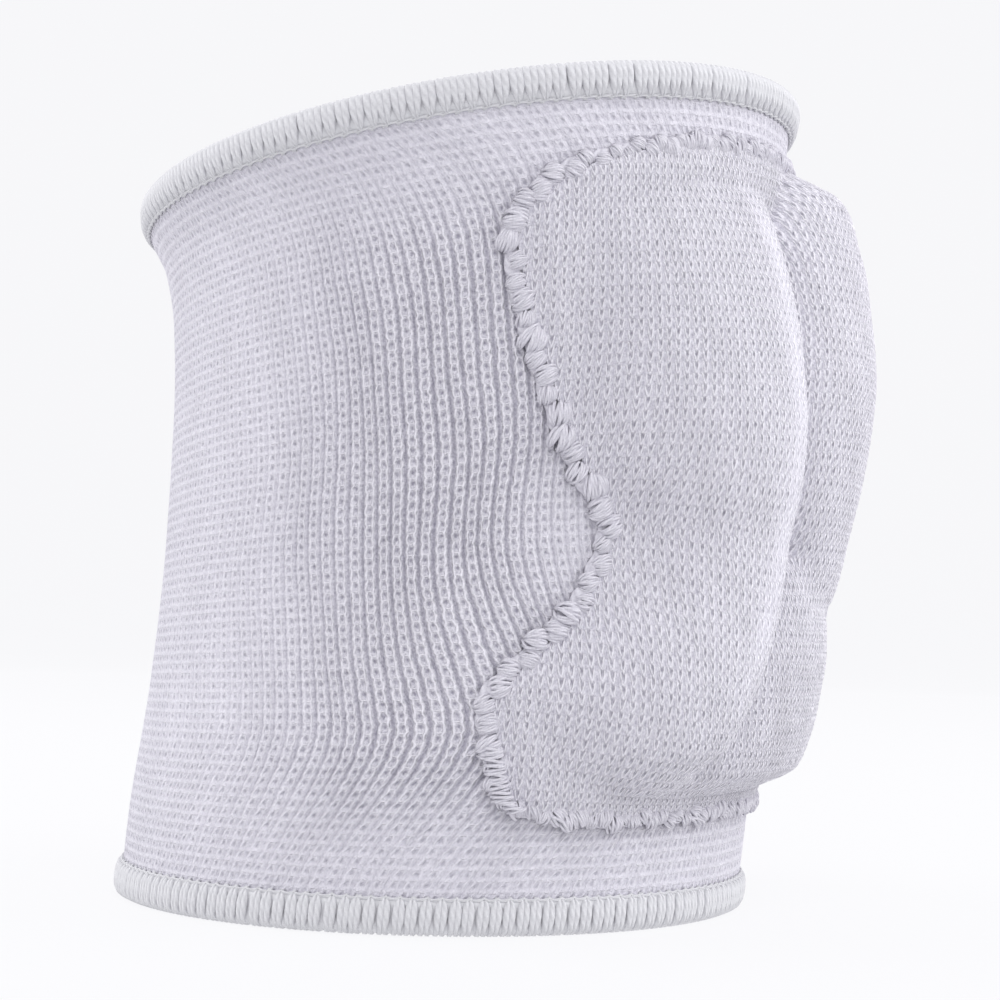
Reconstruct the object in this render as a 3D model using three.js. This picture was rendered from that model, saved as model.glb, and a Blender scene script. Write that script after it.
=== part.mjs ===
// A volleyball knee pad: a ribbed knitted tube for the leg, bound with thread at both rims, with a
// finer knitted pocket sewn on its front and four foam cushions in the pocket. Millimetres, +Z up.
// It stands on its lower rim with the cushions towards -Y. The origin is on the floor, in the
// middle of the box that the whole pad fills.
import * as THREE from "three";

// Tube
const FRONT_HEIGHT = 157;
const BACK_HEIGHT = 133.5;
const TUBE_RADIUS = 60;
const SLEEVE_WALL = 2.4;

// Bound rims: each holds the edge of the knit in a groove
const BINDING_HEIGHT = 5.5;
const BINDING_THICKNESS = 4.8;
const BINDING_EDGE_RADIUS = 1.6;
const BINDING_GRIP = 2.6;

// Pocket: its lower and upper seams lie this far from the rims, and its width follows the tube
const LOWER_BAND = 19.5;
const UPPER_BAND = 13.5;
const POCKET_WIDTH = 162;
const COVER_WALL = 2;
const SEAM_WIDTH = 4.4;
const SEAM_HEIGHT = 3;

// Cushions, with the pocket's knit over them
const KNEECAP_WIDTH = 55;
const KNEECAP_LIFT = 21.7;
const SHIN_WIDTH = 94;
const SHIN_LIFT = 14.4;
const SIDE_LIFT = 16.8;
const SIDE_ROLL = 8;
const FOLD_SOFTNESS = 2;

// Clearances
const PIECE_GAP = 0.4;
const SEAM_GAP = 0.8;
const FOAM_GAP = 1;
const CUSHION_GAP = 1.2;
const THINNEST_FOAM = 1.2;

// Facets
const AROUND = 44;
const UP = 14;
const COVER_ACROSS = 30;
const COVER_UP = 30;
const CUSHION_ACROSS = 8;
const CUSHION_UP = 10;

// Tube sections: level as a share of the height, radius and forward set as shares of TUBE_RADIUS
const SECTIONS = [
  { level: 0.0, radius: 1.005, forward: -0.095 },
  { level: 0.12, radius: 1.011, forward: -0.068 },
  { level: 0.3, radius: 0.999, forward: -0.026 },
  { level: 0.5, radius: 0.989, forward: 0.0 },
  { level: 0.7, radius: 0.99, forward: 0.013 },
  { level: 0.82, radius: 1.002, forward: 0.015 },
  { level: 0.9, radius: 1.025, forward: 0.006 },
  { level: 0.96, radius: 1.06, forward: -0.02 },
  { level: 1.0, radius: 1.075, forward: -0.016 },
];

// Seam outline: share of the pocket's height, and half width as a share of half POCKET_WIDTH
const SEAM = [
  { rise: 0.0, half: 0.7 },
  { rise: 0.015, half: 0.86 },
  { rise: 0.042, half: 0.935 },
  { rise: 0.12, half: 0.972 },
  { rise: 0.18, half: 0.995 },
  { rise: 0.245, half: 0.915 },
  { rise: 0.34, half: 0.788 },
  { rise: 0.425, half: 0.748 },
  { rise: 0.52, half: 0.826 },
  { rise: 0.625, half: 0.9 },
  { rise: 0.78, half: 0.975 },
  { rise: 0.88, half: 1.0 },
  { rise: 0.95, half: 0.9 },
  { rise: 0.985, half: 0.72 },
  { rise: 1.0, half: 0.56 },
];

// Kneecap cushion: where it starts and ends in the pocket's height, and the lift on its centre
// line as a share of KNEECAP_LIFT against the share of its own height
const KNEECAP_RISE = { low: 0.298, high: 1.0 };
const KNEECAP_ROUNDNESS = 2.6;
const KNEECAP_CROWN = [
  { share: 0.0, lift: 0.5 },
  { share: 0.036, lift: 0.668 },
  { share: 0.1, lift: 0.756 },
  { share: 0.17, lift: 0.816 },
  { share: 0.31, lift: 0.926 },
  { share: 0.44, lift: 0.986 },
  { share: 0.51, lift: 1.0 },
  { share: 0.58, lift: 0.982 },
  { share: 0.68, lift: 0.925 },
  { share: 0.75, lift: 0.875 },
  { share: 0.82, lift: 0.785 },
  { share: 0.89, lift: 0.69 },
  { share: 0.95, lift: 0.5 },
  { share: 0.985, lift: 0.31 },
  { share: 1.0, lift: 0.2 },
];

// Shin cushion: the same, with its half width as a share of half SHIN_WIDTH
const SHIN_RISE = { low: 0.028, high: 0.407 };
const SHIN_ROUNDNESS = 4;
const SHIN_CROWN = [
  { share: 0.0, lift: 0.05, half: 1.0 },
  { share: 0.028, lift: 0.36, half: 0.99 },
  { share: 0.094, lift: 0.715, half: 0.97 },
  { share: 0.16, lift: 0.806, half: 0.955 },
  { share: 0.28, lift: 0.903, half: 0.87 },
  { share: 0.41, lift: 0.958, half: 0.81 },
  { share: 0.53, lift: 1.0, half: 0.755 },
  { share: 0.65, lift: 0.986, half: 0.7 },
  { share: 0.72, lift: 0.96, half: 0.675 },
  { share: 0.83, lift: 0.9, half: 0.64 },
  { share: 0.915, lift: 0.8, half: 0.617 },
  { share: 1.0, lift: 0.0, half: 0.574 },
];

// Side cushions: the ridge along each, as a share of half POCKET_WIDTH and of SIDE_LIFT, and how
// far the lower edge is softened towards the seam
const SIDE_EDGE = { at: 0.028, length: 0.1 };
const SIDE_RIDGE = [
  { rise: 0.028, ridge: 0.62, lift: 0.0 },
  { rise: 0.04, ridge: 0.61, lift: 0.3 },
  { rise: 0.06, ridge: 0.59, lift: 0.48 },
  { rise: 0.085, ridge: 0.56, lift: 0.65 },
  { rise: 0.105, ridge: 0.525, lift: 0.744 },
  { rise: 0.147, ridge: 0.486, lift: 0.8 },
  { rise: 0.23, ridge: 0.427, lift: 0.833 },
  { rise: 0.316, ridge: 0.385, lift: 0.845 },
  { rise: 0.395, ridge: 0.368, lift: 0.86 },
  { rise: 0.488, ridge: 0.36, lift: 0.97 },
  { rise: 0.56, ridge: 0.36, lift: 1.0 },
  { rise: 0.665, ridge: 0.36, lift: 0.923 },
  { rise: 0.754, ridge: 0.36, lift: 0.786 },
  { rise: 0.843, ridge: 0.363, lift: 0.565 },
  { rise: 0.915, ridge: 0.373, lift: 0.31 },
  { rise: 0.948, ridge: 0.383, lift: 0.167 },
  { rise: 0.98, ridge: 0.395, lift: 0.07 },
  { rise: 1.0, ridge: 0.4, lift: 0.0 },
];

const POCKET_HEIGHT = FRONT_HEIGHT - LOWER_BAND - UPPER_BAND;
const HALF_POCKET = POCKET_WIDTH / 2;
const WRAP_RADIUS = TUBE_RADIUS + COVER_WALL;

// A smooth curve without overshoot through one column of a table, read at x of its key column
function curve(rows, key, column, x) {
  const last = rows.length - 1;
  const at = THREE.MathUtils.clamp(x, rows[0][key], rows[last][key]);
  let i = 0;
  while (i < last - 1 && rows[i + 1][key] < at) i += 1;
  const chord = (k) => (rows[k + 1][column] - rows[k][column]) / (rows[k + 1][key] - rows[k][key]);
  const slope = (k) => {
    if (k === 0) return chord(0);
    if (k === last) return chord(last - 1);
    const before = chord(k - 1);
    const after = chord(k);
    return before * after <= 0 ? 0 : (2 * before * after) / (before + after);
  };
  const step = rows[i + 1][key] - rows[i][key];
  const s = (at - rows[i][key]) / step;
  const start = (2 * s ** 3 - 3 * s ** 2 + 1) * rows[i][column];
  const end = (3 * s ** 2 - 2 * s ** 3) * rows[i + 1][column];
  const leave = (s ** 3 - 2 * s ** 2 + s) * step * slope(i);
  const arrive = (s ** 3 - s ** 2) * step * slope(i + 1);
  return start + end + leave + arrive;
}

// The larger of two lifts, with the cloth bridging the fold between them
function bridged(a, b) {
  return (a + b + Math.hypot(a - b, FOLD_SOFTNESS)) / 2;
}

// How far a rounded cross section has come down at a share of its half width
function rounded(share, roundness) {
  return Math.sqrt(Math.max(0, 1 - Math.abs(share) ** roundness));
}

// Height of the upper rim at an angle from the front; theta turns from the front towards +X
function rimHeight(theta) {
  const middle = (FRONT_HEIGHT + BACK_HEIGHT) / 2;
  return middle + ((FRONT_HEIGHT - BACK_HEIGHT) / 2) * Math.cos(theta);
}

// A point at an angle and level of the tube, this far out from its outer face
function tubePoint(theta, level, lift) {
  const radius = curve(SECTIONS, "level", "radius", level) * TUBE_RADIUS + lift;
  const forward = curve(SECTIONS, "level", "forward", level) * TUBE_RADIUS;
  const y = -forward - radius * Math.cos(theta);
  return new THREE.Vector3(radius * Math.sin(theta), y, level * rimHeight(theta));
}

// The same at a real height above the floor
function tubePointAt(theta, height, lift) {
  return tubePoint(theta, height / rimHeight(theta), lift);
}

// Half width of the kneecap cushion's outline at a share of its own height
function kneecapHalf(share) {
  const across = 1 - Math.abs(2 * share - 1) ** KNEECAP_ROUNDNESS;
  return (KNEECAP_WIDTH / 2) * Math.max(0, across) ** (1 / KNEECAP_ROUNDNESS);
}

function shareOf(range, rise) {
  return (rise - range.low) / (range.high - range.low);
}

function kneecapLift(across, rise) {
  const share = shareOf(KNEECAP_RISE, rise);
  const half = kneecapHalf(share);
  if (half <= Math.abs(across)) return 0;
  const crown = curve(KNEECAP_CROWN, "share", "lift", share) * KNEECAP_LIFT;
  return crown * rounded(across / half, KNEECAP_ROUNDNESS);
}

function shinLift(across, rise) {
  const share = shareOf(SHIN_RISE, rise);
  if (share <= 0 || share >= 1) return 0;
  const half = (curve(SHIN_CROWN, "share", "half", share) * SHIN_WIDTH) / 2;
  const crown = curve(SHIN_CROWN, "share", "lift", share) * SHIN_LIFT;
  return crown * rounded(across / half, SHIN_ROUNDNESS);
}

function sideLift(across, rise) {
  const from = Math.abs(across);
  const ridge = curve(SIDE_RIDGE, "rise", "ridge", rise) * HALF_POCKET;
  const lift = curve(SIDE_RIDGE, "rise", "lift", rise) * SIDE_LIFT;
  if (from < ridge) return lift * rounded((ridge - from) / SIDE_ROLL, 2);
  const seam = seamHalf(rise);
  const share = THREE.MathUtils.clamp((seam - from) / (seam - ridge), 0, 1);
  const softness = 1e-6 + SIDE_EDGE.length * (1 - share);
  const edge = 1 - Math.exp(-Math.max(0, rise - SIDE_EDGE.at) / softness);
  return lift * edge * Math.sin((share * Math.PI) / 2);
}

function seamHalf(rise) {
  return curve(SEAM, "rise", "half", rise) * HALF_POCKET;
}

// Lift of the cover's outer face over the tube, at a distance across from the front's centre line
function coverLift(across, rise) {
  const cushions = bridged(kneecapLift(across, rise), shinLift(across, rise));
  const raised = bridged(cushions, sideLift(across, rise)) - FOLD_SOFTNESS;
  return PIECE_GAP + COVER_WALL + Math.max(0, raised - COVER_WALL);
}

// A point over the pocket, from the distance across, the share of its height and a lift
function pocketPoint(across, rise, lift) {
  const level = (LOWER_BAND + rise * POCKET_HEIGHT) / FRONT_HEIGHT;
  return tubePoint(across / WRAP_RADIUS, level, lift);
}

// The direction that leaves the cover squarely, from its slope both ways
function coverNormal(across, rise) {
  const width = 0.4;
  const height = width / POCKET_HEIGHT;
  const on = (a, r) => pocketPoint(a, r, coverLift(a, r));
  const sideways = on(across + width, rise).sub(on(across - width, rise));
  const upwards = on(across, rise + height).sub(on(across, rise - height));
  return sideways.cross(upwards).normalize();
}

// How far out a point is from the tube's outer face, and the direction out of the tube there
function outFromTube(point) {
  const theta = Math.atan2(point.x, -point.y);
  const level = point.z / rimHeight(theta);
  const forward = curve(SECTIONS, "level", "forward", level) * TUBE_RADIUS;
  const outward = new THREE.Vector3(point.x, point.y + forward, 0);
  const lift = outward.length() - curve(SECTIONS, "level", "radius", level) * TUBE_RADIUS;
  return { lift, outward: outward.normalize() };
}

// A point of the cover's outer face, let down squarely by a depth but kept this far off the tube
function underCover(across, rise, depth, leastLift) {
  const point = pocketPoint(across, rise, coverLift(across, rise));
  point.addScaledVector(coverNormal(across, rise), -depth);
  const { lift, outward } = outFromTube(point);
  return point.addScaledVector(outward, Math.max(0, leastLift - lift));
}

function geometryOf(points, index) {
  const geometry = new THREE.BufferGeometry();
  const positions = points.flatMap((point) => point.toArray());
  geometry.setAttribute("position", new THREE.Float32BufferAttribute(positions, 3));
  geometry.setIndex(index);
  geometry.computeVertexNormals();
  return geometry;
}

// A closed solid between two grids of points, rows upwards and columns towards +X. The faces of
// its two halves are split along mirrored diagonals.
function solidBetween(outer, inner, closedAround) {
  const rows = outer.length;
  const columns = outer[0].length;
  const span = closedAround ? columns : columns - 1;
  const index = [];
  const face = (a, b, c, d) => index.push(a, b, c, a, c, d);
  const out = (j, i) => j * columns + (i % columns);
  const back = (j, i) => rows * columns + out(j, i);
  for (let j = 0; j < rows - 1; j += 1) {
    for (let i = 0; i < span; i += 1) {
      const outside = [out(j, i), out(j, i + 1), out(j + 1, i + 1), out(j + 1, i)];
      const inside = [back(j, i + 1), back(j, i), back(j + 1, i), back(j + 1, i + 1)];
      if (i >= span / 2) {
        outside.push(outside.shift());
        inside.push(inside.shift());
      }
      face(...outside);
      face(...inside);
    }
    if (!closedAround) {
      face(out(j, 0), out(j + 1, 0), back(j + 1, 0), back(j, 0));
      face(out(j + 1, span), out(j, span), back(j, span), back(j + 1, span));
    }
  }
  for (let i = 0; i < span; i += 1) {
    face(out(0, i + 1), out(0, i), back(0, i), back(0, i + 1));
    face(out(rows - 1, i), out(rows - 1, i + 1), back(rows - 1, i + 1), back(rows - 1, i));
  }
  return geometryOf([...outer.flat(), ...inner.flat()], index);
}

// A closed ring through a list of sections, each a loop of as many points
function ringThrough(sections) {
  const size = sections[0].length;
  const index = [];
  sections.forEach((section, k) => {
    const next = (k + 1) % sections.length;
    for (let i = 0; i < size; i += 1) {
      const j = (i + 1) % size;
      const here = [k * size + i, k * size + j];
      const there = [next * size + i, next * size + j];
      index.push(here[0], there[0], there[1], here[0], there[1], here[1]);
    }
  });
  return geometryOf(sections.flat(), index);
}

function steps(count) {
  return Array.from({ length: count + 1 }, (_, k) => k / count);
}

function anglesAround() {
  return Array.from({ length: AROUND }, (_, k) => (k / AROUND) * 2 * Math.PI);
}

// The ribbed tube, open at both ends, with its edges in the grooves of the two bindings
function sleeveGeometry() {
  const end = BINDING_HEIGHT - BINDING_GRIP + PIECE_GAP;
  const beside = BINDING_HEIGHT + PIECE_GAP;
  const face = (lift) => {
    const row = (height) => anglesAround().map((theta) => tubePointAt(theta, height(theta), lift));
    const middle = steps(UP).map((share) => {
      return row((theta) => beside + share * (rimHeight(theta) - 2 * beside));
    });
    return [row(() => end), ...middle, row((theta) => rimHeight(theta) - end)];
  };
  return solidBetween(face(0), face(-SLEEVE_WALL), true);
}

// The binding's section, as offsets out from the middle of the knit and in from the rim's edge
function bindingSection() {
  const half = BINDING_THICKNESS / 2;
  const corner = BINDING_EDGE_RADIUS;
  const groove = SLEEVE_WALL / 2 + PIECE_GAP;
  const floor = BINDING_HEIGHT - BINDING_GRIP;
  const bevel = corner * (1 - Math.SQRT1_2);
  return [
    { out: half, inward: BINDING_HEIGHT },
    { out: groove, inward: BINDING_HEIGHT },
    { out: groove, inward: floor },
    { out: -groove, inward: floor },
    { out: -groove, inward: BINDING_HEIGHT },
    { out: -half, inward: BINDING_HEIGHT },
    { out: -half, inward: corner },
    { out: -half + bevel, inward: bevel },
    { out: -half + corner, inward: 0 },
    { out: half - corner, inward: 0 },
    { out: half - bevel, inward: bevel },
    { out: half, inward: corner },
  ];
}

function bindingGeometry(upper) {
  const outline = bindingSection();
  const loop = upper ? [...outline].reverse() : outline;
  const sections = anglesAround().map((theta) => {
    return loop.map(({ out, inward }) => {
      const height = upper ? rimHeight(theta) - inward : inward;
      return tubePointAt(theta, height, out - SLEEVE_WALL / 2);
    });
  });
  return ringThrough(sections);
}

// Half width of the outline that runs inside the seam's at a margin: no point of it is nearer
function insetHalf(rise, margin) {
  const distances = steps(16).map((share) => {
    const aside = margin * (2 * share - 1);
    const reach = Math.sqrt(Math.max(0, margin ** 2 - aside ** 2));
    return seamHalf(rise + aside / POCKET_HEIGHT) - reach;
  });
  return Math.min(...distances);
}

// Shares of the pocket's height for its rows, closer together at the corners of the seam
function rowRises() {
  return steps(COVER_UP).map((share) => (1 - Math.cos(share * Math.PI)) / 2);
}

// The pocket's knit: a shell over the cushions that lies on the tube inside its seam
function coverGeometry() {
  const margin = SEAM_WIDTH / 2 + SEAM_GAP;
  const face = (point) => {
    return rowRises().map((share) => {
      const edge = margin / POCKET_HEIGHT;
      const rise = edge + share * (1 - 2 * edge);
      const half = insetHalf(rise, margin);
      return steps(COVER_ACROSS).map((side) => point((2 * side - 1) * half, rise));
    });
  };
  const outer = face((across, rise) => pocketPoint(across, rise, coverLift(across, rise)));
  const inner = face((across, rise) => underCover(across, rise, COVER_WALL, PIECE_GAP));
  return solidBetween(outer, inner, false);
}

// The seam's path around the pocket: up one side, over the top, down the other side and back
function seamPath() {
  const side = rowRises().slice(0, -1);
  const edge = steps(COVER_ACROSS).slice(0, -1);
  const right = side.map((share) => ({ across: seamHalf(share), rise: share }));
  const top = edge.map((share) => ({ across: (1 - 2 * share) * seamHalf(1), rise: 1 }));
  const left = side.map((share) => ({ across: -seamHalf(1 - share), rise: 1 - share }));
  const bottom = edge.map((share) => ({ across: (2 * share - 1) * seamHalf(0), rise: 0 }));
  return [...right, ...top, ...left, ...bottom];
}

// The raised stitches of the seam, lying on the tube beside the cover's edge
function seamGeometry() {
  const path = seamPath();
  const section = [
    { out: 0.5, up: 0 },
    { out: 0.42, up: 0.65 },
    { out: 0, up: 1 },
    { out: -0.42, up: 0.65 },
    { out: -0.5, up: 0 },
  ];
  const sections = path.map(({ across, rise }, k) => {
    const before = path[(k + path.length - 1) % path.length];
    const after = path[(k + 1) % path.length];
    const along = new THREE.Vector2(after.across - before.across, 0);
    along.y = (after.rise - before.rise) * POCKET_HEIGHT;
    along.normalize();
    return section.map(({ out, up }) => {
      const aside = out * SEAM_WIDTH;
      const shifted = rise - (aside * along.x) / POCKET_HEIGHT;
      return pocketPoint(across + aside * along.y, shifted, PIECE_GAP + up * SEAM_HEIGHT);
    });
  });
  return ringThrough(sections);
}

// A cushion: foam that fills the cover's inside over a patch given by columns and rows
function cushionGeometry(patch) {
  const face = (point) => {
    return steps(CUSHION_UP).map((up) => {
      return steps(CUSHION_ACROSS).map((side) => {
        const { across, rise } = patch(side, up);
        return point(across, rise);
      });
    });
  };
  const depth = COVER_WALL + FOAM_GAP;
  const least = PIECE_GAP + THINNEST_FOAM;
  const top = face((across, rise) => underCover(across, rise, depth, least));
  const base = face((across, rise) => pocketPoint(across, rise, PIECE_GAP));
  return solidBetween(top, base, false);
}

// Foam outlines keep inside the folds of the cover by these shares of the cushion's outline
const KNEECAP_FOAM = { width: 0.84, low: 0.03, high: 0.955 };
const SHIN_FOAM = { width: 0.78, low: 0.085, top: 0.35 };
const SIDE_FOAM = { low: 0.1, high: 0.87 };

function kneecapFoamHalf(rise) {
  const share = shareOf(KNEECAP_RISE, rise);
  return share > 0 && share < 1 ? kneecapHalf(share) * KNEECAP_FOAM.width : 0;
}

function shinFoamHalf(rise) {
  const share = shareOf(SHIN_RISE, rise);
  if (share <= 0 || rise > SHIN_FOAM.top) return 0;
  return ((curve(SHIN_CROWN, "share", "half", share) * SHIN_WIDTH) / 2) * SHIN_FOAM.width;
}

function kneecapPatch(side, up) {
  const range = KNEECAP_RISE.high - KNEECAP_RISE.low;
  const share = KNEECAP_FOAM.low + up * (KNEECAP_FOAM.high - KNEECAP_FOAM.low);
  const rise = KNEECAP_RISE.low + share * range;
  return { across: (2 * side - 1) * kneecapFoamHalf(rise), rise };
}

// The shin cushion's top edge is cut to the round lower end of the kneecap cushion
function shinPatch(side, up) {
  const gap = CUSHION_GAP / POCKET_HEIGHT;
  const topHalf = shinFoamHalf(SHIN_FOAM.top);
  const across = (2 * side - 1) * topHalf;
  const start = KNEECAP_RISE.low + KNEECAP_FOAM.low * (KNEECAP_RISE.high - KNEECAP_RISE.low);
  let top = SHIN_FOAM.top;
  while (top > start - gap && kneecapFoamHalf(top + gap) > Math.abs(across) - CUSHION_GAP) {
    top -= gap / 4;
  }
  const rise = SHIN_FOAM.low + up * (top - SHIN_FOAM.low);
  const spread = shinFoamHalf(rise) / topHalf;
  return { across: across * spread, rise };
}

function sidePatch(side, up) {
  const rise = SIDE_FOAM.low + up * (SIDE_FOAM.high - SIDE_FOAM.low);
  const ridge = curve(SIDE_RIDGE, "rise", "ridge", rise) * HALF_POCKET;
  const neighbour = Math.max(kneecapFoamHalf(rise), shinFoamHalf(rise)) + CUSHION_GAP;
  const inner = Math.max(neighbour, ridge - SIDE_ROLL / 2);
  const room = COVER_WALL + FOAM_GAP + 2 * PIECE_GAP + THINNEST_FOAM;
  let outer = seamHalf(rise);
  while (outer > inner + SIDE_ROLL && coverLift(outer, rise) < room) outer -= PIECE_GAP;
  return { across: inner + side * (outer - inner), rise };
}

function mirroredSidePatch(side, up) {
  const { across, rise } = sidePatch(1 - side, up);
  return { across: -across, rise };
}

function material(colour, roughness) {
  return new THREE.MeshStandardMaterial({ color: colour, roughness, metalness: 0 });
}

const pad = new THREE.Group();

function add(name, geometry, finish) {
  const mesh = new THREE.Mesh(geometry, finish);
  mesh.name = name;
  pad.add(mesh);
}

add("sleeve", sleeveGeometry(), material(0xe6e6f0, 0.92));
add("top_binding", bindingGeometry(true), material(0xe9ebee, 0.75));
add("bottom_binding", bindingGeometry(false), material(0xe9ebee, 0.75));
add("pad_cover", coverGeometry(), material(0xe9e8f4, 0.9));
add("pocket_seam", seamGeometry(), material(0xeeeef6, 0.85));
add("kneecap_pad", cushionGeometry(kneecapPatch), material(0xd9d9d4, 0.95));
add("shin_pad", cushionGeometry(shinPatch), material(0xd9d9d4, 0.95));
add("side_pad_left", cushionGeometry(sidePatch), material(0xd9d9d4, 0.95));
add("side_pad_right", cushionGeometry(mirroredSidePatch), material(0xd9d9d4, 0.95));

// The origin goes to the middle of the box, front to back
pad.position.y = -new THREE.Box3().setFromObject(pad).getCenter(new THREE.Vector3()).y;

export default pad;
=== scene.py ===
# A white volleyball knee pad: ribbed knit sleeve, finer knit pocket, foam cushions, bound rims.
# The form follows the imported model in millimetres, and the stitches are worked out on it here.
import math

import bpy
import numpy as np
from mathutils import Matrix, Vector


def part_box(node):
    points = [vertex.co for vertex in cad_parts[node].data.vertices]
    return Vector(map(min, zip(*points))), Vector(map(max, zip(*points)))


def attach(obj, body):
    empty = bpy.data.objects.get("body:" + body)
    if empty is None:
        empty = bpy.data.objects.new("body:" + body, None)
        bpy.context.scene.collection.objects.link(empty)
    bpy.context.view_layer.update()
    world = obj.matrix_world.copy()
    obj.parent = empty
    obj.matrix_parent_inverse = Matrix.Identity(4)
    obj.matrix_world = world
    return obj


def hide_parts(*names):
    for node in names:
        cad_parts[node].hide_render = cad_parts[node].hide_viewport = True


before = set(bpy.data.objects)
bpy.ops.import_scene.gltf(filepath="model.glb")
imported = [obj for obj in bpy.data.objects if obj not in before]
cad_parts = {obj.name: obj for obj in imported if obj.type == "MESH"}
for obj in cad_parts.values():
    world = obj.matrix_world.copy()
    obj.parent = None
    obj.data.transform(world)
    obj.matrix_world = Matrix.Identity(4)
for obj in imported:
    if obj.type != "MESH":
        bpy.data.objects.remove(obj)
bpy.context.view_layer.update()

MM = 0.001
RANDOM = np.random.default_rng(11)


def table(columns, rows):
    """A table of numbers whose columns are read by name."""
    return dict(zip(columns.split(), np.array(rows, float).T))


# Form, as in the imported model
FRONT_HEIGHT = 157.0
BACK_HEIGHT = 133.5
TUBE_RADIUS = 60.0
SLEEVE_WALL = 2.4
BINDING_HEIGHT = 5.5
BINDING_THICKNESS = 4.8
BINDING_GRIP = 2.6
LOWER_BAND = 19.5
UPPER_BAND = 13.5
POCKET_WIDTH = 162.0
COVER_WALL = 2.0
SEAM_WIDTH = 4.4
KNEECAP_WIDTH = 55.0
KNEECAP_LIFT = 21.7
KNEECAP_ROUNDNESS = 2.6
SHIN_WIDTH = 94.0
SHIN_LIFT = 14.4
SHIN_ROUNDNESS = 4.0
SIDE_LIFT = 16.8
SIDE_ROLL = 8.0
FOLD_SOFTNESS = 2.0
PIECE_GAP = 0.4
FOAM_GAP = 1.0
CUSHION_GAP = 1.2
THINNEST_FOAM = 1.2

SECTIONS = table("level radius forward", [
    (0.0, 1.005, -0.095),
    (0.12, 1.011, -0.068),
    (0.3, 0.999, -0.026),
    (0.5, 0.989, 0.0),
    (0.7, 0.99, 0.013),
    (0.82, 1.002, 0.015),
    (0.9, 1.025, 0.006),
    (0.96, 1.06, -0.02),
    (1.0, 1.075, -0.016),
])
SEAM = table("rise half", [
    (0.0, 0.7),
    (0.015, 0.86),
    (0.042, 0.935),
    (0.12, 0.972),
    (0.18, 0.995),
    (0.245, 0.915),
    (0.34, 0.788),
    (0.425, 0.748),
    (0.52, 0.826),
    (0.625, 0.9),
    (0.78, 0.975),
    (0.88, 1.0),
    (0.95, 0.9),
    (0.985, 0.72),
    (1.0, 0.56),
])
KNEECAP_RISE = (0.298, 1.0)
KNEECAP_CROWN = table("share lift", [
    (0.0, 0.5),
    (0.036, 0.668),
    (0.1, 0.756),
    (0.17, 0.816),
    (0.31, 0.926),
    (0.44, 0.986),
    (0.51, 1.0),
    (0.58, 0.982),
    (0.68, 0.925),
    (0.75, 0.875),
    (0.82, 0.785),
    (0.89, 0.69),
    (0.95, 0.5),
    (0.985, 0.31),
    (1.0, 0.2),
])
SHIN_RISE = (0.028, 0.407)
SHIN_CROWN = table("share lift half", [
    (0.0, 0.05, 1.0),
    (0.028, 0.36, 0.99),
    (0.094, 0.715, 0.97),
    (0.16, 0.806, 0.955),
    (0.28, 0.903, 0.87),
    (0.41, 0.958, 0.81),
    (0.53, 1.0, 0.755),
    (0.65, 0.986, 0.7),
    (0.72, 0.96, 0.675),
    (0.83, 0.9, 0.64),
    (0.915, 0.8, 0.617),
    (1.0, 0.0, 0.574),
])
SIDE_EDGE_AT = 0.028
SIDE_EDGE_LENGTH = 0.1
SIDE_RIDGE = table("rise ridge lift", [
    (0.028, 0.62, 0.0),
    (0.04, 0.61, 0.3),
    (0.06, 0.59, 0.48),
    (0.085, 0.56, 0.65),
    (0.105, 0.525, 0.744),
    (0.147, 0.486, 0.8),
    (0.23, 0.427, 0.833),
    (0.316, 0.385, 0.845),
    (0.395, 0.368, 0.86),
    (0.488, 0.36, 0.97),
    (0.56, 0.36, 1.0),
    (0.665, 0.36, 0.923),
    (0.754, 0.36, 0.786),
    (0.843, 0.363, 0.565),
    (0.915, 0.373, 0.31),
    (0.948, 0.383, 0.167),
    (0.98, 0.395, 0.07),
    (1.0, 0.4, 0.0),
])
KNEECAP_FOAM = {"width": 0.84, "low": 0.03, "high": 0.955}
SHIN_FOAM = {"width": 0.78, "low": 0.085, "top": 0.35}
SIDE_FOAM = {"low": 0.1, "high": 0.87}

POCKET_HEIGHT = FRONT_HEIGHT - LOWER_BAND - UPPER_BAND
HALF_POCKET = POCKET_WIDTH / 2
WRAP_RADIUS = TUBE_RADIUS + COVER_WALL


def curve(rows, key, column, x):
    """A smooth curve without overshoot through one column of a table, read at x of its key."""
    xs, ys = rows[key], rows[column]
    at = np.clip(x, xs[0], xs[-1])
    i = np.clip(np.searchsorted(xs, at, side="right") - 1, 0, len(xs) - 2)
    chord = np.diff(ys) / np.diff(xs)
    before, after = chord[:-1], chord[1:]
    climbs = before * after > 0
    inner = np.where(climbs, 2 * before * after / np.where(climbs, before + after, 1), 0)
    slope = np.concatenate([chord[:1], inner, chord[-1:]])
    step = xs[i + 1] - xs[i]
    s = (at - xs[i]) / step
    start = (2 * s**3 - 3 * s**2 + 1) * ys[i] + (s**3 - 2 * s**2 + s) * step * slope[i]
    end = (3 * s**2 - 2 * s**3) * ys[i + 1] + (s**3 - s**2) * step * slope[i + 1]
    return start + end


def smoothstep(low, high, x):
    s = np.clip((x - low) / (high - low), 0, 1)
    return s * s * (3 - 2 * s)


def unit(vectors):
    return vectors / np.linalg.norm(vectors, axis=-1, keepdims=True)


def bridged(a, b):
    """The larger of two lifts, with the cloth bridging the fold between them."""
    return (a + b + np.hypot(a - b, FOLD_SOFTNESS)) / 2


def rounded(share, roundness):
    return np.sqrt(np.maximum(0, 1 - np.abs(share) ** roundness))


def rim_height(theta):
    middle = (FRONT_HEIGHT + BACK_HEIGHT) / 2
    return middle + (FRONT_HEIGHT - BACK_HEIGHT) / 2 * np.cos(theta)


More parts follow.
